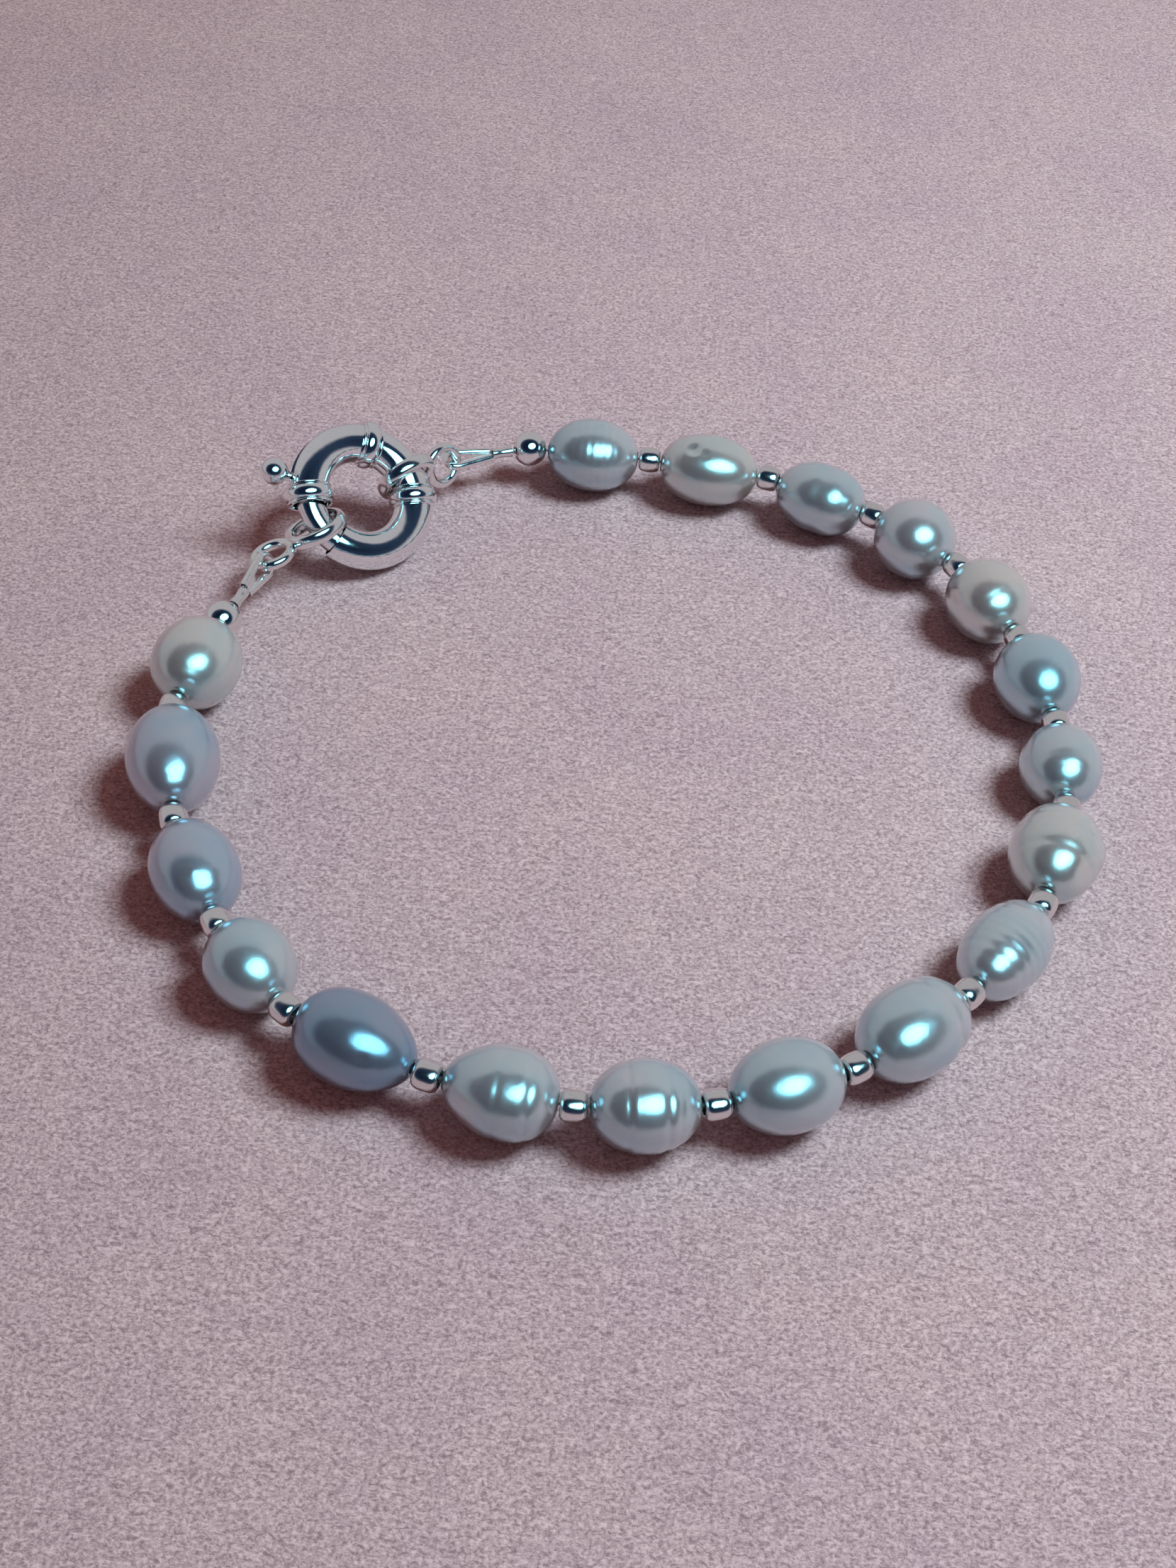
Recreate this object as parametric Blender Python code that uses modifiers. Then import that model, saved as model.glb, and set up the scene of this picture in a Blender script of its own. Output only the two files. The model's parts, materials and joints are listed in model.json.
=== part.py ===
"""Pearl bracelet: oval pearls and small silver beads on a beading wire, closed by a bolt-ring clasp.

X runs to the right and Y away from the viewer, with the bracelet lying on the plane Z = 0.
"""

import math

import bmesh
import bpy
from mathutils import Matrix, Vector

MM = 0.001

# Pearls, drilled from end to end
PEARL_LENGTH = 7.7 * MM
PEARL_GIRTH = 6.25 * MM
PEARL_HOLE = 0.8 * MM
PEARL_SIDES = 14
PEARL_BANDS = 9
DRILL_SIDES = 8

# Small silver beads between the pearls, and the larger ball at each end of the string
SPACER_LENGTH = 1.75 * MM
SPACER_GIRTH = 2.1 * MM
SPACER_HOLE = 1.15 * MM
SPACER_SIDES = 10
END_BALL = 2.9 * MM
END_BALL_HOLE = 1.2 * MM
BALL_SIDES = 14
BALL_BANDS = 9
BEAD_GAP = 0.06 * MM

# Beading wire, and the crimped tube that closes each of its end loops
WIRE = 0.28 * MM
STRAND_GAP = 0.05 * MM
CRIMP_LENGTH = 1.7 * MM
CRIMP_GIRTH = 0.9 * MM
CRIMP_WALL = 0.09 * MM
CRIMP_SIDES = 10
CRIMP_GAP = 0.2 * MM

# Horseshoe guard that the wire runs through where it pulls on a link
GUARD_TUBE = 0.66 * MM
GUARD_BORE = 0.44 * MM
GUARD_REACH = 3.0 * MM
GUARD_TIP_GAP = 0.08 * MM
GUARD_ARC_STEPS = 8
ROUND_WIRE_LEVEL = 1

# Figure-of-eight links: a large loop on the clasp, with a small eye soldered across its end
LINK_WIRE = 0.85 * MM
LOOP_BAND = 1.15 * MM
LOOP_BORE = 3.55 * MM
EYE_BORE = 2.2 * MM
SOLDER_SINK = 0.5 * MM
LINK_STEPS = 20
LINK_SIDES = 6
LINK_GAP = 0.10 * MM
LOOP_GAP = 0.15 * MM

# Bolt-ring clasp: a hollow ring with an open gap, three collars and a sprung bolt inside
CLASP_RING = 9.05 * MM
CLASP_TUBE = 3.15 * MM
CLASP_WALL = 0.22 * MM
CLASP_SIDES = 14
CLASP_STEPS = 30
COLLAR_LENGTH = 1.65 * MM
COLLAR_GIRTH = 3.95 * MM
COLLAR_LIP = 3.6 * MM
BOLT = 2.2 * MM
BOLT_SIDES_LEVEL = 4
BOLT_STEPS = 12
TRIGGER_BALL = 2.2 * MM
TRIGGER_STEM = 0.6 * MM
TRIGGER_NECK = 0.3 * MM
TRIGGER_SLOT = 0.86 * MM
SLOT_STEPS = 8
CLASP_FLOOR_GAP = 0.05 * MM

# Where things are round the clasp ring, in degrees counted anticlockwise from its low-to-high axis
MOUTH_COLLAR_AT = 154.0
TOP_COLLAR_AT = 52.0
SIDE_COLLAR_AT = -26.0
MOUTH_AT = 161.0
SOCKET_AT = 208.0
BOLT_TIP_AT = 214.0
BOLT_HEEL_AT = 124.0
TRIGGER_AT = 139.0
TRIGGER_TRAVEL = 50.0

# How the clasp lies: turned in the plane of the table, then leant back on its low side
CLASP_AT = (-22.45 * MM, 22.78 * MM)
CLASP_TURN = 46.5
CLASP_LEAN = 39.0

# One row for each side of the clasp: where the link sits on the ring, the compass direction,
# downward slope and roll of the link, the twist of its eye against its loop,
# and the compass direction and roll of the guard and crimp after it
LINK_COLUMNS = (
    "side", "ring_angle", "link_heading", "link_drop", "link_roll", "eye_twist",
    "guard_heading", "guard_roll",
)
LINKS = (
    ("a", -2.0, 48.0, 12.0, -13.0, 50.0, 23.5, 20.0),
    ("b", 187.0, 222.5, 10.0, -22.0, 80.0, 251.5, 0.0),
)

# One row for each pearl along the string: length and girth as shares of the sizes above,
# how much thicker it is towards the start of the string, and how full its shoulders are
PEARL_COLUMNS = ("length", "girth", "taper", "fullness")
PEARLS = (
    (1.010, 0.975, 0.00, 0.96),
    (1.080, 0.960, 0.04, 0.88),
    (0.990, 0.945, -0.06, 0.94),
    (0.885, 1.045, 0.00, 1.00),
    (0.950, 1.050, -0.04, 1.00),
    (0.970, 1.045, 0.04, 1.00),
    (0.895, 0.970, 0.00, 1.00),
    (1.000, 1.050, 0.06, 0.92),
    (1.065, 0.930, 0.00, 0.86),
    (1.085, 1.020, -0.03, 0.90),
    (1.010, 0.990, 0.05, 0.98),
    (0.930, 0.970, 0.00, 0.92),
    (0.985, 0.970, 0.22, 0.96),
    (1.115, 1.000, -0.18, 1.00),
    (0.885, 0.965, -0.08, 1.00),
    (1.050, 0.985, 0.04, 1.00),
    (1.170, 1.075, -0.04, 1.00),
    (0.985, 1.070, 0.00, 0.98),
)

# Chosen points of the string's route, from one end ball to the other, in millimetres
STRING_ROUTE = (
    (-9.3, 32.8),
    (11.1, 31.6),
    (26.4, 22.4),
    (32.8, 5.3),
    (30.1, -12.7),
    (16.8, -27.7),
    (-1.2, -32.5),
    (-20.2, -27.0),
    (-30.6, -11.9),
    (-33.0, -0.8),
    (-31.2, 8.9),
)
ROUTE_STEPS = 40
CLOSING_ROUNDS = 50

# Colour, metallic value and roughness of each kind of piece
FINISHES = {
    "pearl": ((0.78, 0.77, 0.76), 0.0, 0.25),
    "spacer_silver": ((0.80, 0.78, 0.78), 1.0, 0.18),
    "ball_silver": ((0.84, 0.83, 0.83), 1.0, 0.10),
    "crimp_silver": ((0.78, 0.76, 0.76), 1.0, 0.22),
    "guard_silver": ((0.82, 0.81, 0.81), 1.0, 0.16),
    "link_silver": ((0.83, 0.82, 0.82), 1.0, 0.12),
    "clasp_silver": ((0.85, 0.85, 0.86), 1.0, 0.08),
    "bolt_silver": ((0.82, 0.82, 0.83), 1.0, 0.12),
    "steel_wire": ((0.55, 0.54, 0.54), 1.0, 0.30),
}

STRING_HEIGHT = PEARL_GIRTH / 2
RING_RADIUS = CLASP_RING / 2
TUBE_RADIUS = CLASP_TUBE / 2
LOOP_RADIUS = (LOOP_BORE + LINK_WIRE) / 2
EYE_RADIUS = (EYE_BORE + LINK_WIRE) / 2
GUARD_BEND = LINK_WIRE / 2 + GUARD_TUBE / 2 + LINK_GAP
GUARD_TIP = GUARD_TUBE / 2 + GUARD_TIP_GAP / 2
STRAND_SIDE = (WIRE + STRAND_GAP) / 2


def clear_scene():
    """Remove whatever the scene already holds."""
    for thing in list(bpy.data.objects):
        bpy.data.objects.remove(thing, do_unlink=True)


def make_materials():
    """One Principled material for each kind of piece."""
    made = {}
    for name, (colour, metallic, roughness) in FINISHES.items():
        material = bpy.data.materials.new(name)
        material.use_nodes = True
        shader = material.node_tree.nodes["Principled BSDF"]
        shader.inputs["Base Color"].default_value = (*colour, 1.0)
        shader.inputs["Metallic"].default_value = metallic
        shader.inputs["Roughness"].default_value = roughness
        made[name] = material
    return made


def link_object(name, data):
    """Put a new object of this data in the bracelet's collection."""
    piece = bpy.data.objects.new(name, data)
    COLLECTION.objects.link(piece)
    return piece


def settle(piece):
    """Turn an object's curve or modifiers into one clean mesh, with its faces outward."""
    bpy.context.view_layer.update()
    graph = bpy.context.evaluated_depsgraph_get()
    mesh = bpy.data.meshes.new_from_object(piece.evaluated_get(graph))
    shell = bmesh.new()
    shell.from_mesh(mesh)
    bmesh.ops.remove_doubles(shell, verts=shell.verts, dist=0.0001 * MM)
    bmesh.ops.recalc_face_normals(shell, faces=shell.faces)
    shell.to_mesh(mesh)
    shell.free()
    name = piece.name
    bpy.data.objects.remove(piece, do_unlink=True)
    return link_object(name, mesh)


def combine(piece, others, operation):
    """Join or cut a piece with other meshes, which are used up."""
    for number, other in enumerate(others):
        cut = piece.modifiers.new(f"{operation.lower()}_{number}", "BOOLEAN")
        cut.operation = operation
        cut.solver = "EXACT"
        cut.object = other
    made = settle(piece)
    for other in others:
        bpy.data.objects.remove(other, do_unlink=True)
    return made


def tube_along(name, points, girth, level):
    """A round wire along a list of points, with closed ends."""
    curve = bpy.data.curves.new(name, "CURVE")
    curve.dimensions = "3D"
    curve.bevel_depth = girth / 2
    curve.bevel_resolution = level
    curve.use_fill_caps = True
    spline = curve.splines.new("POLY")
    spline.points.add(len(points) - 1)
    for control, point in zip(spline.points, points):
        control.co = (*point, 1.0)
    return settle(link_object(name, curve))


def turned(name, profile, sides):
    """A ring turned about Z from a closed profile of (radius, height) points."""
    mesh = bpy.data.meshes.new(name)
    corners = [(radius, 0.0, height) for radius, height in profile]
    edges = [(number, (number + 1) % len(corners)) for number in range(len(corners))]
    mesh.from_pydata(corners, edges, [])
    ring = link_object(name, mesh)
    screw = ring.modifiers.new("turn", "SCREW")
    screw.angle = math.tau
    screw.steps = sides
    screw.render_steps = sides
    screw.use_merge_vertices = True
    screw.merge_threshold = 0.0001 * MM
    return settle(ring)


def ball(name, girth, sides, bands):
    """A faceted ball whose pole axis is Z."""
    bpy.ops.mesh.primitive_uv_sphere_add(segments=sides, ring_count=bands, radius=girth / 2)
    return adopt(name)


def rod(name, girth, length, sides):
    """A straight rod about Z, centred on the origin."""
    bpy.ops.mesh.primitive_cylinder_add(vertices=sides, radius=girth / 2, depth=length)
    return adopt(name)


def adopt(name):
    """Name the primitive just added and keep it in the bracelet's collection only."""
    piece = bpy.context.object
    piece.name = name
    piece.data.name = name
    for home in list(piece.users_collection):
        home.objects.unlink(piece)
    COLLECTION.objects.link(piece)
    return piece


def frame_from(x_axis, y_hint, at):
    """A placing matrix with this X axis and the Y axis nearest to the hint."""
    x_axis = x_axis.normalized()
    y_axis = (y_hint - x_axis * y_hint.dot(x_axis)).normalized()
    z_axis = x_axis.cross(y_axis)
    turn = Matrix((x_axis, y_axis, z_axis)).transposed().to_4x4()
    return Matrix.Translation(at) @ turn


def place(piece, matrix, finish, parent):
    """Stand a piece under its parent at this matrix, with its material."""
    piece.parent = parent
    piece.matrix_basis = matrix
    piece.data.materials.clear()
    piece.data.materials.append(MATERIALS[finish])


def on_ring(angle, radius=RING_RADIUS):
    """A point of the clasp ring's own plane, at this angle in degrees."""
    turn = math.radians(angle)
    return Vector((radius * math.cos(turn), radius * math.sin(turn), 0.0))


def clasp_matrix():
    """Where the clasp lies: its ring's centre, turned and leant."""
    lean = math.radians(CLASP_LEAN)
    height = TUBE_RADIUS + RING_RADIUS * math.sin(lean) + CLASP_FLOOR_GAP
    at = Vector((*CLASP_AT, height))
    turn = Matrix.Rotation(math.radians(CLASP_TURN), 4, "Z")
    return Matrix.Translation(at) @ turn @ Matrix.Rotation(lean, 4, "X")


def heading_vector(heading, drop):
    """A unit vector with this compass heading and downward slope, both in degrees."""
    turn = math.radians(heading)
    slope = math.radians(drop)
    level = math.cos(slope)
    return Vector((level * math.cos(turn), level * math.sin(turn), -math.sin(slope)))


def link_frames(row, clasp):
    """Frames of one link, its eye, its guard and its end ball, with X away from the clasp."""
    held_girth = BOLT if row["ring_angle"] > MOUTH_AT else CLASP_TUBE
    slack = (LOOP_BORE - held_girth) / 2 - LOOP_GAP
    along = heading_vector(row["link_heading"], row["link_drop"])
    turn = math.radians(row["ring_angle"])
    tangent = clasp.to_3x3() @ Vector((-math.sin(turn), math.cos(turn), 0.0))
    loop_at = clasp @ on_ring(row["ring_angle"]) + along * slack
    roll = Matrix.Rotation(math.radians(row["link_roll"]), 4, "X")
    link = frame_from(along, tangent, loop_at) @ roll
    eye_turn = link @ Matrix.Rotation(math.radians(row["eye_twist"]), 4, "X")

    eye_reach = LOOP_RADIUS + EYE_RADIUS + LINK_WIRE - SOLDER_SINK
    eye = eye_turn @ Matrix.Translation((eye_reach, 0.0, 0.0))
    # The guard slides round the eye's wire until its pull crosses the wire squarely.
    pull = eye.to_3x3().inverted() @ heading_vector(row["guard_heading"], 0.0)
    seat = math.atan2(pull.y, pull.x)
    wire_at = eye @ on_ring(math.degrees(seat), EYE_RADIUS)
    wire_runs = eye.to_3x3() @ Vector((-math.sin(seat), math.cos(seat), 0.0))
    ball_reach = GUARD_REACH + CRIMP_GAP + CRIMP_LENGTH + CRIMP_GAP + END_BALL / 2
    rise = math.degrees(math.asin((STRING_HEIGHT - wire_at.z) / ball_reach))
    outward = heading_vector(row["guard_heading"], -rise)
    guard_roll = Matrix.Rotation(math.radians(row["guard_roll"]), 4, "X")
    guard = frame_from(outward, wire_runs, wire_at) @ guard_roll
    return link, eye, guard, guard @ Vector((ball_reach, 0.0, 0.0))


def smooth_route(start, end, swell):
    """The string's route as many close points, from ball to ball, widened by swell."""
    shown = [Vector((x * MM, y * MM, STRING_HEIGHT)) for x, y in STRING_ROUTE]
    last = len(shown) - 1
    knots = []
    for number, point in enumerate(shown):
        share = number / last
        base_shown = shown[0].lerp(shown[last], share)
        knots.append(start.lerp(end, share) + (point - base_shown) * swell)
    before = knots[0] * 2 - knots[1]
    after = knots[last] * 2 - knots[last - 1]
    knots = [before] + knots + [after]
    route = []
    for number in range(1, len(knots) - 2):
        p0, p1, p2, p3 = knots[number - 1:number + 3]
        for step in range(ROUTE_STEPS):
            t = step / ROUTE_STEPS
            bend = (p0 * 2 - p1 * 5 + p2 * 4 - p3) * (t * t)
            twist = (p1 * 3 - p0 - p2 * 3 + p3) * (t * t * t)
            route.append((p1 * 2 + (p2 - p0) * t + bend + twist) / 2)
    route.append(end.copy())
    return route


def walk_route(route, steps):
    """Points found one after another at these straight distances along a route."""
    found = [route[0]]
    number = 0
    for step in steps:
        while number < len(route) - 1 and (route[number + 1] - found[-1]).length < step:
            number += 1
        near = route[number]
        far = route[min(number + 1, len(route) - 1)]
        low, high = 0.0, 1.0
        for _ in range(30):
            middle = (low + high) / 2
            if (near.lerp(far, middle) - found[-1]).length < step:
                low = middle
            else:
                high = middle
        found.append(near.lerp(far, low))
    return found


def bead_centres(start, end, steps):
    """Centres of the beads between the pearls, on the route that the string's length closes."""
    low, high = 0.3, 2.0
    centres = []
    for _ in range(CLOSING_ROUNDS):
        swell = (low + high) / 2
        centres = walk_route(smooth_route(start, end, swell), steps[:-1])
        if (end - centres[-1]).length > steps[-1]:
            high = swell
        else:
            low = swell
    return centres + [end]


def build_pearl(name, row, start, end, parent):
    """One pearl between two bead centres, resting on the table and drilled along the string."""
    radius = row["girth"] * PEARL_GIRTH / 2
    half_length = row["length"] * PEARL_LENGTH / 2
    pearl = ball(name, 2.0, PEARL_SIDES, PEARL_BANDS)
    flat_share = math.sin(math.pi / (2 * PEARL_BANDS))
    band_share = math.cos(math.pi / (2 * PEARL_BANDS))
    across_flats = band_share * math.cos(math.pi / PEARL_SIDES)
    lift = radius - STRING_HEIGHT
    facet_down = Matrix.Rotation(math.pi / 2 + math.pi / PEARL_SIDES, 4, "Z")
    pearl.data.transform(facet_down)
    for corner in pearl.data.vertices:
        height = corner.co.z
        round_share = max(1e-6, 1.0 - height * height) ** 0.5
        shoulder = (round_share / band_share) ** (row["fullness"] - 1.0)
        past_middle = height - max(-flat_share, min(flat_share, height))
        spread = radius * shoulder * (1.0 - row["taper"] * past_middle) / across_flats
        corner.co = (corner.co.x * spread + lift, corner.co.y * spread, height * half_length)
    drill = rod("drill", PEARL_HOLE, 3 * half_length, DRILL_SIDES)
    pearl = combine(pearl, [drill], "DIFFERENCE")
    along = (end - start).normalized()
    middle = start + along * row["middle"]
    upright = Vector((0.0, 0.0, 1.0))
    place(pearl, frame_from(upright, along.cross(upright), middle), "pearl", parent)
    return pearl


def build_spacer(name, at, along, parent):
    """One small silver bead: a short barrel with softened edges."""
    half = SPACER_LENGTH / 2
    outer = SPACER_GIRTH / 2
    bore = SPACER_HOLE / 2
    edge = (outer + bore) / 2 + 0.12 * outer
    profile = (
        (bore, half), (edge, half), (outer, 0.55 * half),
        (outer, -0.55 * half), (edge, -half), (bore, -half),
    )
    spacer = turned(name, profile, SPACER_SIDES)
    upright = Vector((0.0, 0.0, 1.0))
    place(spacer, frame_from(upright, along.cross(upright), at), "spacer_silver", parent)


def build_end_ball(name, at, along, parent):
    """The silver ball at one end of the string."""
    bead = ball(name, END_BALL, BALL_SIDES, BALL_BANDS)
    drill = rod("drill", END_BALL_HOLE, 2 * END_BALL, DRILL_SIDES)
    bead = combine(bead, [drill], "DIFFERENCE")
    upright = Vector((0.0, 0.0, 1.0))
    place(bead, frame_from(upright, along.cross(upright), at), "ball_silver", parent)


def build_crimp(name, guard, parent):
    """The tube pressed over both strands of the wire, beyond the guard's tips."""
    half = CRIMP_LENGTH / 2
    outer = CRIMP_GIRTH / 2
    bore = outer - CRIMP_WALL
    profile = ((bore, half), (outer, half), (outer, -half), (bore, -half))
    crimp = turned(name, profile, CRIMP_SIDES)
    middle = Vector((GUARD_REACH + CRIMP_GAP + half, 0.0, 0.0))
    lie_along = Matrix.Rotation(math.pi / 2, 4, "Y")
    place(crimp, guard @ Matrix.Translation(middle) @ lie_along, "crimp_silver", parent)


def guard_path(extra=0.0):
    """The middle line of a guard in its own frame: tip, leg, bend round the eye, leg, tip."""
    bend = []
    for step in range(GUARD_ARC_STEPS + 1):
        turn = math.pi / 2 + math.pi * step / GUARD_ARC_STEPS
        bend.append(Vector((GUARD_BEND * math.cos(turn), 0.0, GUARD_BEND * math.sin(turn))))
    upper_tip = Vector((GUARD_REACH, 0.0, GUARD_TIP))
    lower_tip = Vector((GUARD_REACH, 0.0, -GUARD_TIP))
    upper_run = (upper_tip - bend[0]).normalized() * extra
    lower_run = (lower_tip - bend[-1]).normalized() * extra
    return [upper_tip + upper_run] + bend + [lower_tip + lower_run]


def build_guard(name, guard, parent):
    """A bent silver tube that the wire runs through round the link's eye."""
    outside = tube_along(name, guard_path(), GUARD_TUBE, ROUND_WIRE_LEVEL)
    inside = tube_along("bore", guard_path(GUARD_TUBE), GUARD_BORE, ROUND_WIRE_LEVEL)
    hollow = combine(outside, [inside], "DIFFERENCE")
    place(hollow, guard, "guard_silver", parent)


def build_link(name, link, eye_frame, parent):
    """A figure-of-eight link: a wide loop and a round eye turned across it, soldered together."""
    bpy.ops.mesh.primitive_torus_add(
        major_segments=LINK_STEPS, minor_segments=LINK_SIDES,
        major_radius=LOOP_RADIUS, minor_radius=LINK_WIRE / 2)
    loop = adopt(name)
    widen = Matrix.Diagonal((1.0, 1.0, LOOP_BAND / LINK_WIRE, 1.0))
    loop.data.transform(Matrix.Rotation(math.pi / 2, 4, "X") @ widen)
    bpy.ops.mesh.primitive_torus_add(
        major_segments=LINK_STEPS, minor_segments=LINK_SIDES,
        major_radius=EYE_RADIUS, minor_radius=LINK_WIRE / 2)
    eye = adopt("eye")
    eye.data.transform(link.inverted() @ eye_frame)
    place(combine(loop, [eye], "UNION"), link, "link_silver", parent)


def build_wire(name, frames, centres, parent):
    """The beading wire: out through the beads, and back on itself in a loop at each end."""
    def end_loop(guard):
        near_ball = GUARD_REACH + 1.5 * CRIMP_GAP + CRIMP_LENGTH
        near_guard = GUARD_REACH + 0.5 * CRIMP_GAP
        tail = GUARD_REACH + CRIMP_GAP + 0.9 * CRIMP_LENGTH
        loop = [Vector((near_ball, 0.0, STRAND_SIDE)), Vector((near_guard, 0.0, STRAND_SIDE))]
        loop += guard_path()
        loop += [Vector((near_guard, 0.0, -STRAND_SIDE)), Vector((tail, 0.0, -STRAND_SIDE))]
        return [guard @ point for point in loop]

    first = end_loop(frames[0])
    last = end_loop(frames[1])
    path = list(reversed(first)) + centres + last
    wire = tube_along(name, path, WIRE, ROUND_WIRE_LEVEL)
    place(wire, Matrix.Identity(4), "steel_wire", parent)


def collar(name, angle):
    """A soldered collar round the clasp's tube: a bead between two thin lips."""
    half = COLLAR_LENGTH / 2
    inner = TUBE_RADIUS - CLASP_WALL / 2
    lip = COLLAR_LIP / 2
    bead = COLLAR_GIRTH / 2
    groove = 0.8 * lip + 0.2 * TUBE_RADIUS
    profile = (
        (inner, half), (groove, half), (lip, 0.82 * half), (groove, 0.62 * half),
        (bead, 0.3 * half), (bead, -0.3 * half),
        (groove, -0.62 * half), (lip, -0.82 * half), (groove, -half), (inner, -half),
    )
    ring = turned(name, profile, CLASP_SIDES)
    stand = Matrix.Rotation(math.pi / 2, 4, "X")
    turn = Matrix.Rotation(math.radians(angle), 4, "Z")
    ring.data.transform(Matrix.Translation(on_ring(angle)) @ turn @ stand)
    return ring


def build_clasp_body(name, parent):
    """The hollow ring with its gap, the trigger's slot and three collars."""
    bpy.ops.mesh.primitive_circle_add(vertices=CLASP_SIDES, radius=TUBE_RADIUS)
    shell = adopt(name)
    start = SOCKET_AT - 360.0
    stand = Matrix.Translation((RING_RADIUS, 0.0, 0.0)) @ Matrix.Rotation(math.pi / 2, 4, "X")
    shell.data.transform(Matrix.Rotation(math.radians(start), 4, "Z") @ stand)
    screw = shell.modifiers.new("sweep", "SCREW")
    screw.angle = math.radians(MOUTH_AT - start)
    screw.steps = CLASP_STEPS
    screw.render_steps = CLASP_STEPS
    shell = settle(shell)
    wall = shell.modifiers.new("wall", "SOLIDIFY")
    wall.thickness = CLASP_WALL
    wall.offset = -1.0
    wall.use_even_offset = True
    shell = settle(shell)

    collars = [
        collar("mouth_collar", MOUTH_COLLAR_AT),
        collar("top_collar", TOP_COLLAR_AT),
        collar("side_collar", SIDE_COLLAR_AT),
    ]
    shell = combine(shell, collars, "UNION")

    half_slot = math.degrees(TRIGGER_SLOT / 2 / (RING_RADIUS + TUBE_RADIUS))
    slot_from = TRIGGER_AT + half_slot
    slot_to = TRIGGER_AT - TRIGGER_TRAVEL - half_slot
    wall_radius = RING_RADIUS + TUBE_RADIUS
    path = []
    for step in range(SLOT_STEPS + 1):
        share = step / SLOT_STEPS
        path.append(on_ring(slot_from + (slot_to - slot_from) * share, wall_radius))
    slot = tube_along("slot", path, TRIGGER_SLOT, 2)
    shell = combine(shell, [slot], "DIFFERENCE")
    place(shell, Matrix.Identity(4), "clasp_silver", parent)


def build_bolt(name, parent):
    """The sliding bolt with its stem and trigger ball, its origin on the ring's axis."""
    path = []
    for step in range(BOLT_STEPS + 1):
        share = step / BOLT_STEPS
        path.append(on_ring(BOLT_TIP_AT + (BOLT_HEEL_AT - BOLT_TIP_AT) * share))
    bolt = tube_along(name, path, BOLT, BOLT_SIDES_LEVEL)
    ball_radius = RING_RADIUS + TUBE_RADIUS + TRIGGER_NECK + TRIGGER_BALL / 2
    knob = ball("knob", TRIGGER_BALL, BALL_SIDES, BALL_BANDS)
    knob.data.transform(Matrix.Translation(on_ring(TRIGGER_AT, ball_radius)))
    stem = rod("stem", TRIGGER_STEM, ball_radius - RING_RADIUS, DRILL_SIDES)
    lie_out = Matrix.Rotation(math.radians(TRIGGER_AT), 4, "Z") @ Matrix.Rotation(math.pi / 2, 4, "Y")
    middle = on_ring(TRIGGER_AT, (ball_radius + RING_RADIUS) / 2)
    stem.data.transform(Matrix.Translation(middle) @ lie_out)
    bolt = combine(bolt, [stem, knob], "UNION")
    place(bolt, Matrix.Identity(4), "bolt_silver", parent)


def centre_on_table(root):
    """Move the whole bracelet so that the origin is the middle of its footprint."""
    bpy.context.view_layer.update()
    corners = []
    for piece in COLLECTION.objects:
        if piece.type == "MESH":
            corners += [piece.matrix_world @ vertex.co for vertex in piece.data.vertices]
    low = Vector([min(corner[axis] for corner in corners) for axis in range(3)])
    high = Vector([max(corner[axis] for corner in corners) for axis in range(3)])
    root.location = -Vector(((low.x + high.x) / 2, (low.y + high.y) / 2, low.z))
    bpy.context.view_layer.update()


def build_bracelet():
    """Build every piece of the bracelet under one empty."""
    root = link_object("bracelet", None)
    clasp_frame = link_object("clasp_frame", None)
    clasp_frame.parent = root
    clasp = clasp_matrix()
    clasp_frame.matrix_basis = clasp
    build_clasp_body("clasp_body", clasp_frame)
    build_bolt("clasp_bolt", clasp_frame)

    rows = [dict(zip(LINK_COLUMNS, row)) for row in LINKS]
    guards = []
    anchors = []
    for row in rows:
        link, eye, guard, ball_at = link_frames(row, clasp)
        build_link(f"eight_link_{row['side']}", link, eye, root)
        build_guard(f"wire_guard_{row['side']}", guard, root)
        build_crimp(f"crimp_tube_{row['side']}", guard, root)
        guards.append(guard)
        anchors.append(ball_at)

    pearls = [dict(zip(PEARL_COLUMNS, row)) for row in PEARLS]
    steps = []
    for number, row in enumerate(pearls):
        before = END_BALL / 2 if number == 0 else SPACER_LENGTH / 2
        behind = END_BALL / 2 if number == len(pearls) - 1 else SPACER_LENGTH / 2
        length = row["length"] * PEARL_LENGTH
        row["middle"] = before + BEAD_GAP + length / 2
        steps.append(before + length + behind + 2 * BEAD_GAP)
    centres = bead_centres(anchors[0], anchors[1], steps)

    for number, row in enumerate(pearls):
        build_pearl(f"pearl_{number + 1:02d}", row, centres[number], centres[number + 1], root)
    for number in range(1, len(centres) - 1):
        ahead = (centres[number + 1] - centres[number]).normalized()
        behind = (centres[number] - centres[number - 1]).normalized()
        build_spacer(f"spacer_{number:02d}", centres[number], ahead + behind, root)
    to_guards = [frame.to_3x3() @ Vector((1.0, 0.0, 0.0)) for frame in guards]
    start_along = (centres[1] - centres[0]).normalized() + to_guards[0]
    end_along = (centres[-1] - centres[-2]).normalized() - to_guards[1]
    build_end_ball("end_ball_a", centres[0], start_along, root)
    build_end_ball("end_ball_b", centres[-1], end_along, root)
    build_wire("beading_wire", guards, centres, root)
    centre_on_table(root)


clear_scene()
COLLECTION = bpy.data.collections.new("pearl_bracelet")
bpy.context.scene.collection.children.link(COLLECTION)
MATERIALS = make_materials()
build_bracelet()
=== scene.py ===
# %% [markdown]
# # A pearl bracelet
#
# Eighteen river pearls lie in an open loop, with a small silver bead between each two. The string
# ends in two silver balls, and a bolt ring joins them through two figure-of-eight links.
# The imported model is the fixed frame: it says where every piece is. Each piece is modelled again
# here at full detail, in the same place, and then gets its finish, the light and the camera.

# %% Load the fixed frame
import json
import math

import bmesh
import bpy
from mathutils import Matrix, Vector

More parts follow.
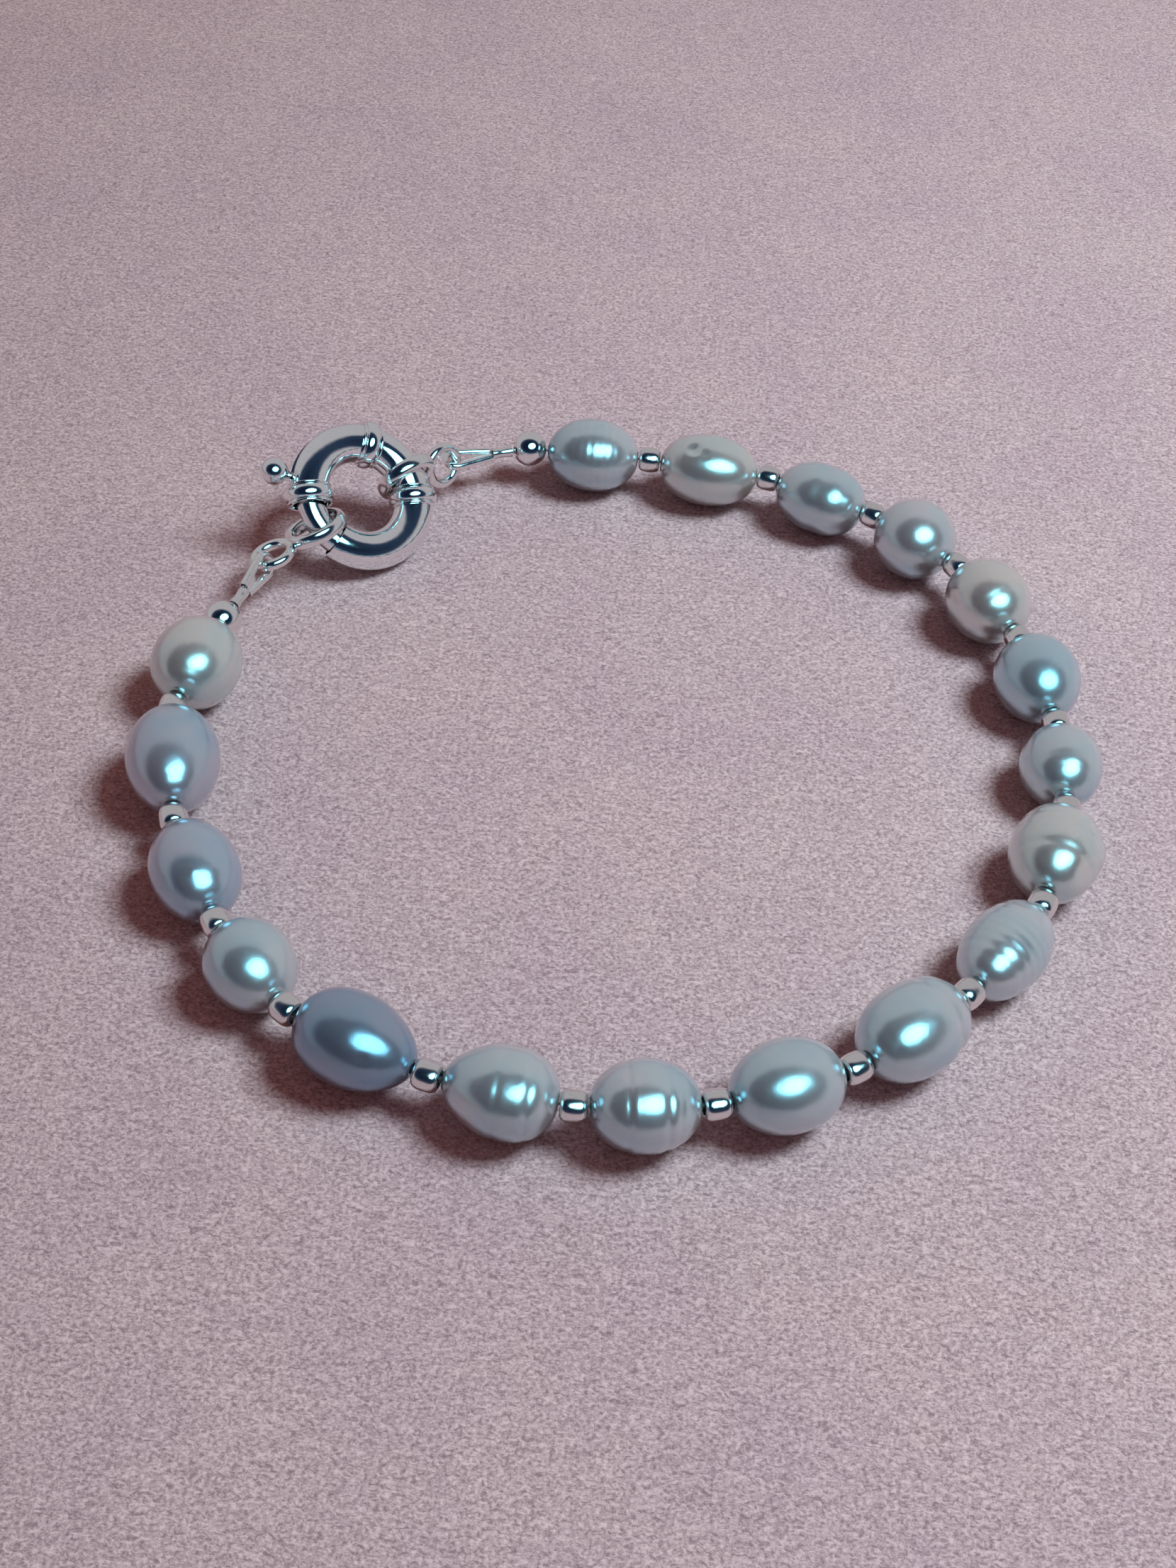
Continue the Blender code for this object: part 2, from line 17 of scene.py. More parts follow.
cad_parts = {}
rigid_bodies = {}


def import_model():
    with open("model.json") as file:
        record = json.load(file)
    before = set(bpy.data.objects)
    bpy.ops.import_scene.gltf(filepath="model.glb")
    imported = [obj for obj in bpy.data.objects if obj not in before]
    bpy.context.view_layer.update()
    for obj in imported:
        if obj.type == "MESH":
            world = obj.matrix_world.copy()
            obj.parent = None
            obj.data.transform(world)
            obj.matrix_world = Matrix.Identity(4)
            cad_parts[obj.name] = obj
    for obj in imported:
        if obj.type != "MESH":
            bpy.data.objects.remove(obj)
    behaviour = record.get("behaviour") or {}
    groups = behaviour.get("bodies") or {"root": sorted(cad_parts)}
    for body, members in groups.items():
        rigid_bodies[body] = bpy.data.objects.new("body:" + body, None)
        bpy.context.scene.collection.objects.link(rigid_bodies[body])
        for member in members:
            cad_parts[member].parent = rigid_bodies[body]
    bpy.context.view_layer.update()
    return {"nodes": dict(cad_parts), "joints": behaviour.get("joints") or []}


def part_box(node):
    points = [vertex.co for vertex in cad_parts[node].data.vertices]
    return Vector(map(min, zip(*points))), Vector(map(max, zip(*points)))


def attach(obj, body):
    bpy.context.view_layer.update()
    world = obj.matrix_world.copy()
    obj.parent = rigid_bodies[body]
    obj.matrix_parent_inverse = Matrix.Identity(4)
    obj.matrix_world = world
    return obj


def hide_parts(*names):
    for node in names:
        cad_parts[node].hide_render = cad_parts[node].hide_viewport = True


for thing in list(bpy.data.objects):
    bpy.data.objects.remove(thing)
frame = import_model()
MM = 0.001

# %% [markdown]
# ## Working by hand, in code
#
# Almost every piece of this bracelet is round about some line: a pearl about its string, a bead
# about its hole, a ring about its middle. At a desk such a shape is drawn as half an outline, and
# the Spin tool sweeps it round. So the first helpers draw an outline, vertex by vertex with
# Extrude, and spin it. Spin can leave the faces pointing inwards, so the seam is merged first and
# the normals are made to point outwards after that.

# %% Helpers for the edit mode
def deselect():
    """Leave nothing selected, and stand in object mode."""
    if bpy.context.mode != "OBJECT":
        bpy.ops.object.mode_set(mode="OBJECT")
    bpy.ops.object.select_all(action="DESELECT")


def draw_outline(name, points):
    """A line of vertices through these points, drawn by extruding one vertex again and again."""
    deselect()
    bpy.ops.mesh.primitive_plane_add(size=MM, location=(0.0, 0.0, 0.0))
    piece = bpy.context.object
    piece.name = name
    bpy.ops.object.mode_set(mode="EDIT")
    bpy.ops.mesh.merge(type="CENTER")
    bpy.ops.transform.translate(value=points[0])
    for here, there in zip(points, points[1:]):
        bpy.ops.mesh.extrude_vertices_move(TRANSFORM_OT_translate={"value": there - here})
    return piece


def close_up():
    """In edit mode: merge the seams and point the faces outwards."""
    bpy.ops.mesh.select_all(action="SELECT")
    bpy.ops.mesh.remove_doubles(threshold=0.00005 * MM)
    bpy.ops.mesh.normals_make_consistent(inside=False)


def sweep(angle, axis, steps):
    """In edit mode: spin the selection counter-clockwise about an axis through the origin."""
    bpy.ops.mesh.spin(steps=steps, angle=-angle, center=(0, 0, 0), axis=axis)


def spin_outline(name, outline, steps):
    """A solid turned about Z from a closed outline of (radius, height) points."""
    points = [Vector((radius, 0.0, height)) for radius, height in outline]
    piece = draw_outline(name, points + points[:1])
    bpy.ops.mesh.select_all(action="SELECT")
    sweep(math.tau, (0, 0, 1), steps)
    close_up()
    bpy.ops.object.mode_set(mode="OBJECT")
    return piece


def stand(piece, matrix):
    """Put a piece where it belongs and apply the place, so that its object stays at the origin."""
    deselect()
    piece.matrix_world = matrix
    piece.select_set(True)
    bpy.context.view_layer.objects.active = piece
    bpy.ops.object.transform_apply(location=True, rotation=True, scale=True)


def join(name, pieces):
    """Make one object of several."""
    deselect()
    for piece in pieces:
        piece.select_set(True)
    bpy.context.view_layer.objects.active = pieces[0]
    bpy.ops.object.join()
    pieces[0].name = name
    return pieces[0]


def smooth(piece, angle):
    """Shade smooth, but keep edges sharper than this angle."""
    deselect()
    piece.select_set(True)
    bpy.context.view_layer.objects.active = piece
    bpy.ops.object.shade_smooth_by_angle(angle=math.radians(angle))


def dress(piece, node, body, material):
    """Give a finished piece its finish, its body, and the node that it stands for."""
    piece.name = f"{node}_shown"
    piece.data.name = piece.name
    piece.data.materials.clear()
    piece.data.materials.append(material)
    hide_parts(node)
    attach(piece, body)


def frame_from(x_axis, y_hint, at):
    """A placing matrix with this X axis and the Y axis nearest to the hint."""
    x_axis = x_axis.normalized()
    y_axis = (y_hint - x_axis * y_hint.dot(x_axis)).normalized()
    z_axis = x_axis.cross(y_axis)
    turn = Matrix((x_axis, y_axis, z_axis)).transposed().to_4x4()
    return Matrix.Translation(at) @ turn


print("helpers are ready")

# %% [markdown]
# ## Materials from nodes
#
# A small helper adds a node, sets its sockets, and joins others to it. Every finish below is made
# of noise and bump on Object coordinates, or on the piece's own UV map where it follows the shape.

# %% A helper for node materials
def new_material(name):
    """An empty Principled material and its node tree."""
    material = bpy.data.materials.new(name)
    material.use_nodes = True
    return material, material.node_tree, material.node_tree.nodes["Principled BSDF"]


def add_node(tree, kind, settings=None, values=None, links=None):
    """One node, with its settings, the values of its sockets, and what is joined to them."""
    node = tree.nodes.new(kind)
    for key, value in (settings or {}).items():
        setattr(node, key, value)
    for key, value in (values or {}).items():
        node.inputs[key].default_value = value
    for key, source in (links or {}).items():
        tree.links.new(source, node.inputs[key])
    return node


def colour_ramp(tree, source, stops):
    """A colour ramp over a value, from (position, colour) stops."""
    ramp = add_node(tree, "ShaderNodeValToRGB", links={"Fac": source})
    elements = ramp.color_ramp.elements
    while len(elements) < len(stops):
        elements.new(0.5)
    for element, (position, colour) in zip(elements, stops):
        element.position = position
        element.color = (*colour, 1.0)
    return ramp


print("node helpers are ready")

# %% [markdown]
# ## Nacre
#
# Nacre is thin clear layers over a milky body, so it shines in two ways: a soft wide gloss that
# is almost metallic, and a clearer skin above it. Its colour drifts between a cool, a middle and
# a warm tint over a few millimetres. The growth lines run round the drill hole, so they follow
# the pearl's UV map, whose V runs along the string. A thin film adds the faint play of colour. No
# two pearls of a string match, so the recipe is made in white, slate and cream, and once more as
# dusk, a darker version of the slate that one pearl wears.

# %% The nacre of the pearls
def make_nacre(name, tints):
    """Milky, softly glossy nacre with growth lines, drifting between three tints."""
    material, tree, shader = new_material(name)
    place = add_node(tree, "ShaderNodeTexCoord")
    drift = add_node(
        tree, "ShaderNodeTexNoise",
        values={"Scale": 140.0, "Detail": 3.0, "Roughness": 0.55, "Distortion": 0.6},
        links={"Vector": place.outputs["Object"]})
    tint = colour_ramp(tree, drift.outputs["Fac"], tuple(zip((0.30, 0.50, 0.72), tints)))
    lines_at = add_node(
        tree, "ShaderNodeMapping", values={"Scale": (3.0, 46.0, 1.0)},
        links={"Vector": place.outputs["UV"]})
    lines = add_node(
        tree, "ShaderNodeTexNoise",
        values={"Scale": 1.0, "Detail": 4.0, "Roughness": 0.6, "Distortion": 0.35},
        links={"Vector": lines_at.outputs["Vector"]})
    veil = add_node(
        tree, "ShaderNodeMix", settings={"data_type": "RGBA", "blend_type": "MULTIPLY"},
        values={"Factor": 0.22}, links={"A": tint.outputs["Color"]})
    pale = colour_ramp(tree, lines.outputs["Fac"], ((0.35, (0.82, 0.84, 0.86)), (0.65, (1, 1, 1))))
    tree.links.new(pale.outputs["Color"], veil.inputs["B"])
    tree.links.new(veil.outputs["Result"], shader.inputs["Base Color"])

    grain = add_node(
        tree, "ShaderNodeTexNoise", values={"Scale": 2600.0, "Detail": 3.0, "Roughness": 0.6},
        links={"Vector": place.outputs["Object"]})
    waves = add_node(
        tree, "ShaderNodeTexNoise", values={"Scale": 520.0, "Detail": 2.0, "Roughness": 0.5},
        links={"Vector": place.outputs["Object"]})
    skin = add_node(
        tree, "ShaderNodeBump", values={"Strength": 0.10, "Distance": 0.05 * MM},
        links={"Height": grain.outputs["Fac"]})
    rings = add_node(
        tree, "ShaderNodeBump", values={"Strength": 0.30, "Distance": 0.05 * MM},
        links={"Height": lines.outputs["Fac"], "Normal": skin.outputs["Normal"]})
    swell = add_node(
        tree, "ShaderNodeBump", values={"Strength": 0.35, "Distance": 0.12 * MM},
        links={"Height": waves.outputs["Fac"], "Normal": rings.outputs["Normal"]})
    tree.links.new(swell.outputs["Normal"], shader.inputs["Normal"])

    gloss = add_node(
        tree, "ShaderNodeMapRange", values={"To Min": 0.20, "To Max": 0.27},
        links={"Value": waves.outputs["Fac"]})
    tree.links.new(gloss.outputs["Result"], shader.inputs["Roughness"])
    shader.inputs["Metallic"].default_value = 0.74
    shader.inputs["IOR"].default_value = 1.65
    shader.inputs["Subsurface Weight"].default_value = 0.40
    shader.inputs["Subsurface Radius"].default_value = (2.0 * MM, 1.4 * MM, 1.3 * MM)
    shader.inputs["Subsurface Scale"].default_value = 1.0
    shader.inputs["Coat Weight"].default_value = 0.45
    shader.inputs["Coat Roughness"].default_value = 0.17
    shader.inputs["Thin Film Thickness"].default_value = 380.0
    shader.inputs["Thin Film IOR"].default_value = 1.40
    return material


NACRES = {
    "white": make_nacre("nacre_white", ((0.43, 0.59, 0.66), (0.52, 0.63, 0.67), (0.62, 0.64, 0.67))),
    "slate": make_nacre("nacre_slate", ((0.34, 0.50, 0.61), (0.43, 0.52, 0.61), (0.52, 0.53, 0.60))),
    # dusk: the slate's tints made darker, worn by one pearl only
    "dusk": make_nacre("nacre_dusk", ((0.21, 0.35, 0.48), (0.27, 0.37, 0.48), (0.35, 0.38, 0.47))),
    "cream": make_nacre("nacre_cream", ((0.50, 0.64, 0.66), (0.60, 0.67, 0.66), (0.70, 0.67, 0.64))),
}
print("made", len(NACRES), "nacres")

# %% [markdown]
# ## Polished silver
#
# Each silver piece has been tumbled, soldered or drawn, and wears a little differently: the clasp
# is brightest, the crimp and the beads are duller. One recipe serves them all, with its own tone,
# gloss and depth of wear: a slow wave that makes reflections wobble, fine scratches, and faint
# dull patches.

# %% The silver finishes and the wire's steel
def make_silver(name, tone, gloss, wobble, scratches):
    """Polished metal of this tone and roughness, with slow waves and fine scratches."""
    material, tree, shader = new_material(name)
    place = add_node(tree, "ShaderNodeTexCoord")
    slow = add_node(
        tree, "ShaderNodeTexNoise", values={"Scale": 620.0, "Detail": 2.0, "Roughness": 0.5},
        links={"Vector": place.outputs["Object"]})
    stretch = add_node(
        tree, "ShaderNodeMapping", values={"Scale": (1.0, 9.0, 3.0), "Rotation": (0.4, 0.3, 0.8)},
        links={"Vector": place.outputs["Object"]})
    fine = add_node(
        tree, "ShaderNodeTexNoise", values={"Scale": 1900.0, "Detail": 4.0, "Roughness": 0.7},
        links={"Vector": stretch.outputs["Vector"]})
    wave = add_node(
        tree, "ShaderNodeBump", values={"Strength": wobble, "Distance": 0.06 * MM},
        links={"Height": slow.outputs["Fac"]})
    scratch = add_node(
        tree, "ShaderNodeBump", values={"Strength": scratches, "Distance": 0.01 * MM},
        links={"Height": fine.outputs["Fac"], "Normal": wave.outputs["Normal"]})
    tree.links.new(scratch.outputs["Normal"], shader.inputs["Normal"])
    dark_tone = tuple(0.88 * part for part in tone)
    worn = colour_ramp(tree, fine.outputs["Fac"], ((0.25, dark_tone), (0.55, tone)))
    tree.links.new(worn.outputs["Color"], shader.inputs["Base Color"])
    dull = add_node(
        tree, "ShaderNodeMapRange", values={"To Min": 0.6 * gloss, "To Max": 1.5 * gloss},
        links={"Value": slow.outputs["Fac"]})
    tree.links.new(dull.outputs["Result"], shader.inputs["Roughness"])
    shader.inputs["Metallic"].default_value = 1.0
    return material


clasp_silver = make_silver("clasp_silver", (0.93, 0.93, 0.94), 0.08, 0.25, 0.09)
bolt_silver = make_silver("bolt_silver", (0.90, 0.90, 0.92), 0.10, 0.20, 0.30)
link_silver = make_silver("link_silver", (0.91, 0.89, 0.88), 0.11, 0.30, 0.25)
guard_silver = make_silver("guard_silver", (0.92, 0.90, 0.89), 0.13, 0.30, 0.25)
crimp_silver = make_silver("crimp_silver", (0.88, 0.85, 0.84), 0.18, 0.40, 0.30)
ball_silver = make_silver("ball_silver", (0.91, 0.89, 0.88), 0.08, 0.25, 0.20)
bead_silver = make_silver("spacer_silver", (0.86, 0.82, 0.81), 0.14, 0.40, 0.30)
wire_steel = make_silver("wire_steel", (0.62, 0.61, 0.60), 0.28, 0.30, 0.60)
print("made the silver finishes and the steel")

# %% [markdown]
# ## The pearls
#
# A river pearl grows by layers and is never quite round: it is an egg, a drop or a fat barrel,
# with rings where it turned in its shell. It is drilled along its long axis. Half its outline,
# from rim to rim of the hole and back along the bore, is spun about the string. The rings are
# notches of the outline, and pits and bumps are single vertices moved with proportional editing.
#
# A pearl's length is the room between its two beads, and its girth is its node's height.

# %% The pearls' own shapes
BEAD_GAP = 0.06 * MM
PEARL_HOLE = 0.80 * MM
PEARL_STEPS = 96
OUTLINE_STEPS = 64
SPACER_LENGTH = 1.75 * MM
SPACER_GIRTH = 2.10 * MM
SPACER_HOLE = 1.15 * MM
END_BALL = 2.90 * MM
END_BALL_HOLE = 1.20 * MM

# For each pearl: its nacre, how much thicker it is towards the start, how full its shoulders are,
# its rings as (place, depth, width) and its dents as (place, angle, depth, size), where a negative
# depth stands out.
# A place runs from -1 at the string's start to 1; an angle runs from up towards the loop's inside.
PEARLS = (
    ("white", 0.00, 0.96,
     ((-0.38, 0.010, 0.04), (-0.22, 0.008, 0.04), (-0.04, 0.010, 0.04),
      (0.12, 0.008, 0.04), (0.30, 0.010, 0.04), (0.46, 0.008, 0.04)), ()),
    ("cream", 0.04, 0.88, ((-0.62, 0.008, 0.07),),
     ((-0.32, 18.0, 0.085, 0.30), (-0.10, 26.0, 0.030, 0.20))),
    ("white", -0.08, 0.88, ((0.08, 0.030, 0.20), (0.66, 0.012, 0.10)),
     ((0.60, 10.0, 0.030, 0.40),)),
    ("white", 0.00, 1.00, ((-0.55, 0.005, 0.06),), ()),
    ("cream", -0.04, 1.00, ((0.50, 0.008, 0.06),),
     ((-0.15, 55.0, -0.020, 0.22), (-0.05, 70.0, 0.030, 0.20))),
    ("white", 0.04, 1.00, (), ()),
    ("white", 0.00, 1.00, ((0.35, 0.006, 0.05), (0.60, 0.007, 0.05)), ()),
    ("cream", 0.06, 0.92, ((-0.35, 0.012, 0.05), (-0.10, 0.012, 0.04), (0.40, 0.016, 0.07)),
     ((-0.20, -80.0, -0.060, 0.55), (0.55, -60.0, 0.050, 0.45))),
    ("white", 0.00, 0.86,
     ((-0.55, 0.024, 0.09), (-0.36, 0.016, 0.05), (-0.20, 0.014, 0.05), (-0.02, 0.016, 0.05),
      (0.16, 0.014, 0.05), (0.34, 0.016, 0.05), (0.52, 0.022, 0.08), (0.70, 0.012, 0.05)), ()),
    ("white", -0.03, 0.90, ((-0.40, 0.030, 0.07), (-0.60, -0.030, 0.13), (0.74, 0.015, 0.08)), ()),
    ("white", 0.05, 0.98, ((-0.70, 0.010, 0.08),), ()),
    ("white", 0.00, 0.92,
     ((0.33, 0.022, 0.045), (0.24, -0.008, 0.04), (-0.36, 0.026, 0.06), (-0.58, 0.014, 0.05)), ()),
    ("white", 0.22, 0.96, ((-0.02, 0.012, 0.05), (-0.55, 0.022, 0.05), (-0.40, -0.006, 0.06)), ()),
    ("dusk", -0.18, 1.00, ((0.80, 0.008, 0.08),),
     ((-0.45, -50.0, 0.015, 0.18), (0.20, 10.0, 0.012, 0.12))),
    ("white", -0.08, 1.00, ((0.62, 0.010, 0.08),), ()),
    ("slate", 0.04, 1.00, ((-0.70, 0.012, 0.07),),
     ((-0.55, -10.0, -0.020, 0.20), (-0.35, -60.0, 0.015, 0.18))),
    ("slate", -0.04, 1.00, ((-0.78, 0.014, 0.06),), ()),
    ("cream", 0.00, 0.98, ((-0.74, 0.012, 0.06),), ()),
)
print(len(PEARLS), "pearls")

# %% Where the beads lie along the string
def middle_of(node):
    """The middle of a node's box."""
    low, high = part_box(node)
    return (low + high) / 2


bead_nodes = ["end_ball_a"]
bead_nodes += [f"spacer_{number:02d}" for number in range(1, len(PEARLS))]
bead_nodes += ["end_ball_b"]
bead_at = [middle_of(node) for node in bead_nodes]
string_length = sum((there - here).length for here, there in zip(bead_at, bead_at[1:]))
print("string from ball to ball:", round(string_length / MM, 1), "mm")

# %% Outline and shape of one pearl
def pearl_outline(half_length, radius, taper, fullness, rings):
    """Half a pearl's outline from the far rim to the near rim, and back along the bore."""
    outline = []
    for step in range(OUTLINE_STEPS + 1):
        turn = math.pi * (0.5 + step) / (OUTLINE_STEPS + 1)
        along = math.cos(turn)
        egg = 1.0 - taper * along * abs(along) / (abs(along) + 0.2)
        reach = radius * math.sin(turn) ** fullness * egg
        for place, depth, width in rings:
            reach *= 1.0 - depth * math.exp(-((along - place) / width) ** 2)
        if reach > 1.25 * PEARL_HOLE / 2:
            outline.append((reach, along * half_length))
    far, near = outline[0][1], outline[-1][1]
    bore = PEARL_HOLE / 2
    lip = 0.06 * MM
    outline.insert(0, (bore, far - lip))
    outline += [(bore, near + lip), (bore, near / 2), (bore, 0.0), (bore, far / 2)]
    return outline


def dent(piece, half_length, radius, place, angle, depth, size):
    """Push the nearest vertex inwards, or outwards, and take its surroundings along."""
    turn = math.radians(angle)
    level = math.sqrt(1.0 - place * place)
    out = Vector((math.cos(turn) * level, math.sin(turn) * level, 0.0)).normalized()
    spot = Vector((out.x * radius * level, out.y * radius * level, place * half_length))
    bpy.ops.object.mode_set(mode="EDIT")
    bpy.ops.mesh.select_all(action="DESELECT")
    mesh = bmesh.from_edit_mesh(piece.data)
    nearest = min(mesh.verts, key=lambda vertex: (vertex.co - spot).length)
    nearest.select_set(True)
    bmesh.update_edit_mesh(piece.data)
    bpy.ops.transform.translate(
        value=-out * depth * radius, use_proportional_edit=True,
        proportional_edit_falloff="SMOOTH", proportional_size=size * radius)
    bpy.ops.object.mode_set(mode="OBJECT")


def wrap_uv(piece, half_length):
    """A UV map that runs round the string in U and along it in V."""
    layer = piece.data.uv_layers.new(name="round_and_along")
    for face in piece.data.polygons:
        middle_turn = math.atan2(face.center.y, face.center.x)
        for loop in face.loop_indices:
            point = piece.data.vertices[piece.data.loops[loop].vertex_index].co
            turn = math.atan2(point.y, point.x)
            if turn - middle_turn > math.pi:
                turn -= math.tau
            elif middle_turn - turn > math.pi:
                turn += math.tau
            layer.data[loop].uv = (turn / math.tau, 0.5 + 0.5 * point.z / half_length)


print("pearl tools are ready")

# %% Make the pearls
UP = Vector((0.0, 0.0, 1.0))
for number, (tint, taper, fullness, rings, dents) in enumerate(PEARLS):
    node = f"pearl_{number + 1:02d}"
    start, end = bead_at[number], bead_at[number + 1]
    near_half = END_BALL / 2 if number == 0 else SPACER_LENGTH / 2
    far_half = END_BALL / 2 if number == len(PEARLS) - 1 else SPACER_LENGTH / 2
    along = (end - start).normalized()
    length = (end - start).length - near_half - far_half - 2 * BEAD_GAP
    low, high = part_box(node)
    radius = (high.z - low.z) / 2
    pearl = spin_outline(node, pearl_outline(length / 2, radius, taper, fullness, rings), PEARL_STEPS)
    for place, angle, depth, size in dents:
        dent(pearl, length / 2, radius, place, angle, depth, size)
    wrap_uv(pearl, length / 2)
    smooth(pearl, 60.0)
    middle = start + along * (near_half + BEAD_GAP + length / 2)
    middle.z = low.z + radius
    stand(pearl, frame_from(UP, along.cross(UP), middle))
    dress(pearl, node, "bracelet", NACRES[tint])
print("pearls made, the last one", round(length / MM, 2), "mm long")

# %% [markdown]
# ## The small silver beads
#
# Each spacer is a short slice of tube, pressed and tumbled into a fat little barrel. Its outline
# is fullest in the middle and turns in to a straight bore at both ends. One bead is modelled, and
# every other is a copy with its own mesh, turned about its hole so that no two shine alike.

# %% Make the spacer beads
def barrel_outline(outer, bore, half, steps=28):
    """Outline of a fat little barrel, fullest in the middle, with a straight bore."""
    outline = []
    for step in range(steps + 1):
        turn = math.pi * step / steps
        along = math.copysign(abs(math.cos(turn)) ** 0.72, math.cos(turn))
        outline.append((bore + (outer - bore) * math.sin(turn) ** 0.72, along * half))
    return outline + [(bore, 0.0)]


spacer_outline = barrel_outline(SPACER_GIRTH / 2, SPACER_HOLE / 2, SPACER_LENGTH / 2)
first_bead = spin_outline("spacer_bead", spacer_outline, 48)
smooth(first_bead, 50.0)
for number in range(1, len(PEARLS)):
    deselect()
    first_bead.select_set(True)
    bpy.context.view_layer.objects.active = first_bead
    bpy.ops.object.duplicate(linked=False)
    bead = bpy.context.object
    ahead = (bead_at[number + 1] - bead_at[number]).normalized()
    behind = (bead_at[number] - bead_at[number - 1]).normalized()
    turn = Matrix.Rotation(math.radians(67.0 * number), 4, "Z")
    stand(bead, frame_from(UP, (ahead + behind).cross(UP), bead_at[number]) @ turn)
    dress(bead, f"spacer_{number:02d}", "bracelet", bead_silver)
bpy.data.objects.remove(first_bead)
print("spacer beads made")

# %% [markdown]
# ## The clasp's frame
#
# The ring leans on its own links, so it has its own frame: the ring lies in that frame's XY plane,
# and angles run round it. Its middle is the pivot of the bolt's joint. The links, guards and end
# balls follow from it one after another, as the real ones hang.

# %% Sizes and frames of the clasp end
CLASP_TURN, CLASP_LEAN = 46.5, 39.0
RING_RADIUS = 9.05 * MM / 2
TUBE_RADIUS = 3.15 * MM / 2
CLASP_WALL = 0.22 * MM
LINK_WIRE, LOOP_BAND = 0.85 * MM, 1.15 * MM
LOOP_BORE, EYE_BORE = 3.55 * MM, 2.2 * MM
LINK_GAP, LOOP_GAP, SOLDER_SINK = 0.10 * MM, 0.15 * MM, 0.5 * MM
BOLT = 2.2 * MM
MOUTH_AT, SOCKET_AT, BOLT_TIP_AT, BOLT_HEEL_AT = 161.0, 208.0, 214.0, 124.0
MOUTH_COLLAR_AT, TOP_COLLAR_AT, SIDE_COLLAR_AT = 154.0, 52.0, -26.0
TRIGGER_AT, TRIGGER_TRAVEL, TRIGGER_SLOT = 139.0, 50.0, 0.86 * MM
TRIGGER_BALL, TRIGGER_STEM, TRIGGER_NECK = 2.2 * MM, 0.6 * MM, 0.3 * MM
GUARD_TUBE, GUARD_BORE, GUARD_REACH, GUARD_TIP_GAP = 0.66 * MM, 0.44 * MM, 3.0 * MM, 0.08 * MM
CRIMP_LENGTH, CRIMP_GIRTH, CRIMP_WALL, CRIMP_GAP = 1.7 * MM, 0.9 * MM, 0.09 * MM, 0.2 * MM
LOOP_RADIUS = (LOOP_BORE + LINK_WIRE) / 2
EYE_RADIUS = (EYE_BORE + LINK_WIRE) / 2
GUARD_BEND = LINK_WIRE / 2 + GUARD_TUBE / 2 + LINK_GAP
GUARD_TIP = GUARD_TUBE / 2 + GUARD_TIP_GAP / 2
EYE_REACH = LOOP_RADIUS + EYE_RADIUS + LINK_WIRE - SOLDER_SINK

# Side, place on the ring, then the compass direction, slope and roll of the link, how far its eye
# is twisted against its loop, and the compass direction and roll of the guard
LINKS = (
    ("a", -2.0, 48.0, 12.0, -13.0, 50.0, 23.5, 20.0),
    ("b", 187.0, 222.5, 10.0, -22.0, 80.0, 251.5, 0.0),
)


def on_ring(angle, radius=RING_RADIUS):
    """A point of the clasp ring's own plane, at this angle in degrees."""
    turn = math.radians(angle)
    return Vector((radius * math.cos(turn), radius * math.sin(turn), 0.0))


def heading_vector(heading, drop):
    """A unit vector with this compass heading and downward slope, both in degrees."""
    turn, slope = math.radians(heading), math.radians(drop)
    level = math.cos(slope)
    return Vector((level * math.cos(turn), level * math.sin(turn), -math.sin(slope)))


pivot = Vector(frame["joints"][0]["pos_m"])
clasp = Matrix.Translation(pivot) @ Matrix.Rotation(math.radians(CLASP_TURN), 4, "Z")
clasp = clasp @ Matrix.Rotation(math.radians(CLASP_LEAN), 4, "X")
print("clasp middle", [round(part / MM, 2) for part in pivot])

# %% Frames of the links and guards
link_frames, eye_frames, guard_frames = {}, {}, {}
for side, ring_angle, heading, drop, roll, twist, guard_heading, guard_roll in LINKS:
    held_girth = BOLT if ring_angle > MOUTH_AT else 2 * TUBE_RADIUS
    slack = (LOOP_BORE - held_girth) / 2 - LOOP_GAP
    away = heading_vector(heading, drop)
    turn = math.radians(ring_angle)
    tangent = clasp.to_3x3() @ Vector((-math.sin(turn), math.cos(turn), 0.0))
    link = frame_from(away, tangent, clasp @ on_ring(ring_angle) + away * slack)
    link = link @ Matrix.Rotation(math.radians(roll), 4, "X")
    eye = link @ Matrix.Rotation(math.radians(twist), 4, "X")
    eye = eye @ Matrix.Translation((EYE_REACH, 0.0, 0.0))
    # The guard slides round the eye's wire until its pull crosses the wire squarely.
    pull = eye.to_3x3().inverted() @ heading_vector(guard_heading, 0.0)
    seat = math.atan2(pull.y, pull.x)
    wire_at = eye @ on_ring(math.degrees(seat), EYE_RADIUS)
    wire_runs = eye.to_3x3() @ Vector((-math.sin(seat), math.cos(seat), 0.0))
    ball = middle_of(f"end_ball_{side}")
    guard = frame_from(ball - wire_at, wire_runs, wire_at)
    guard = guard @ Matrix.Rotation(math.radians(guard_roll), 4, "X")
    link_frames[side], eye_frames[side], guard_frames[side] = link, eye, guard
    print("side", side, "ball reach", round((ball - wire_at).length / MM, 3), "mm")

# %% [markdown]
# ## The bolt ring
#
# The clasp is a drawn tube bent to a ring, with a gap. Three collars are soldered round it, which
# stiffen the mouth and cover the tube's joints. A slot in its outer side lets the trigger run.
# A circle is spun about the ring's middle to sweep the tube, Solidify gives it its wall, and a
# boolean with a short bent rod cuts the slot.

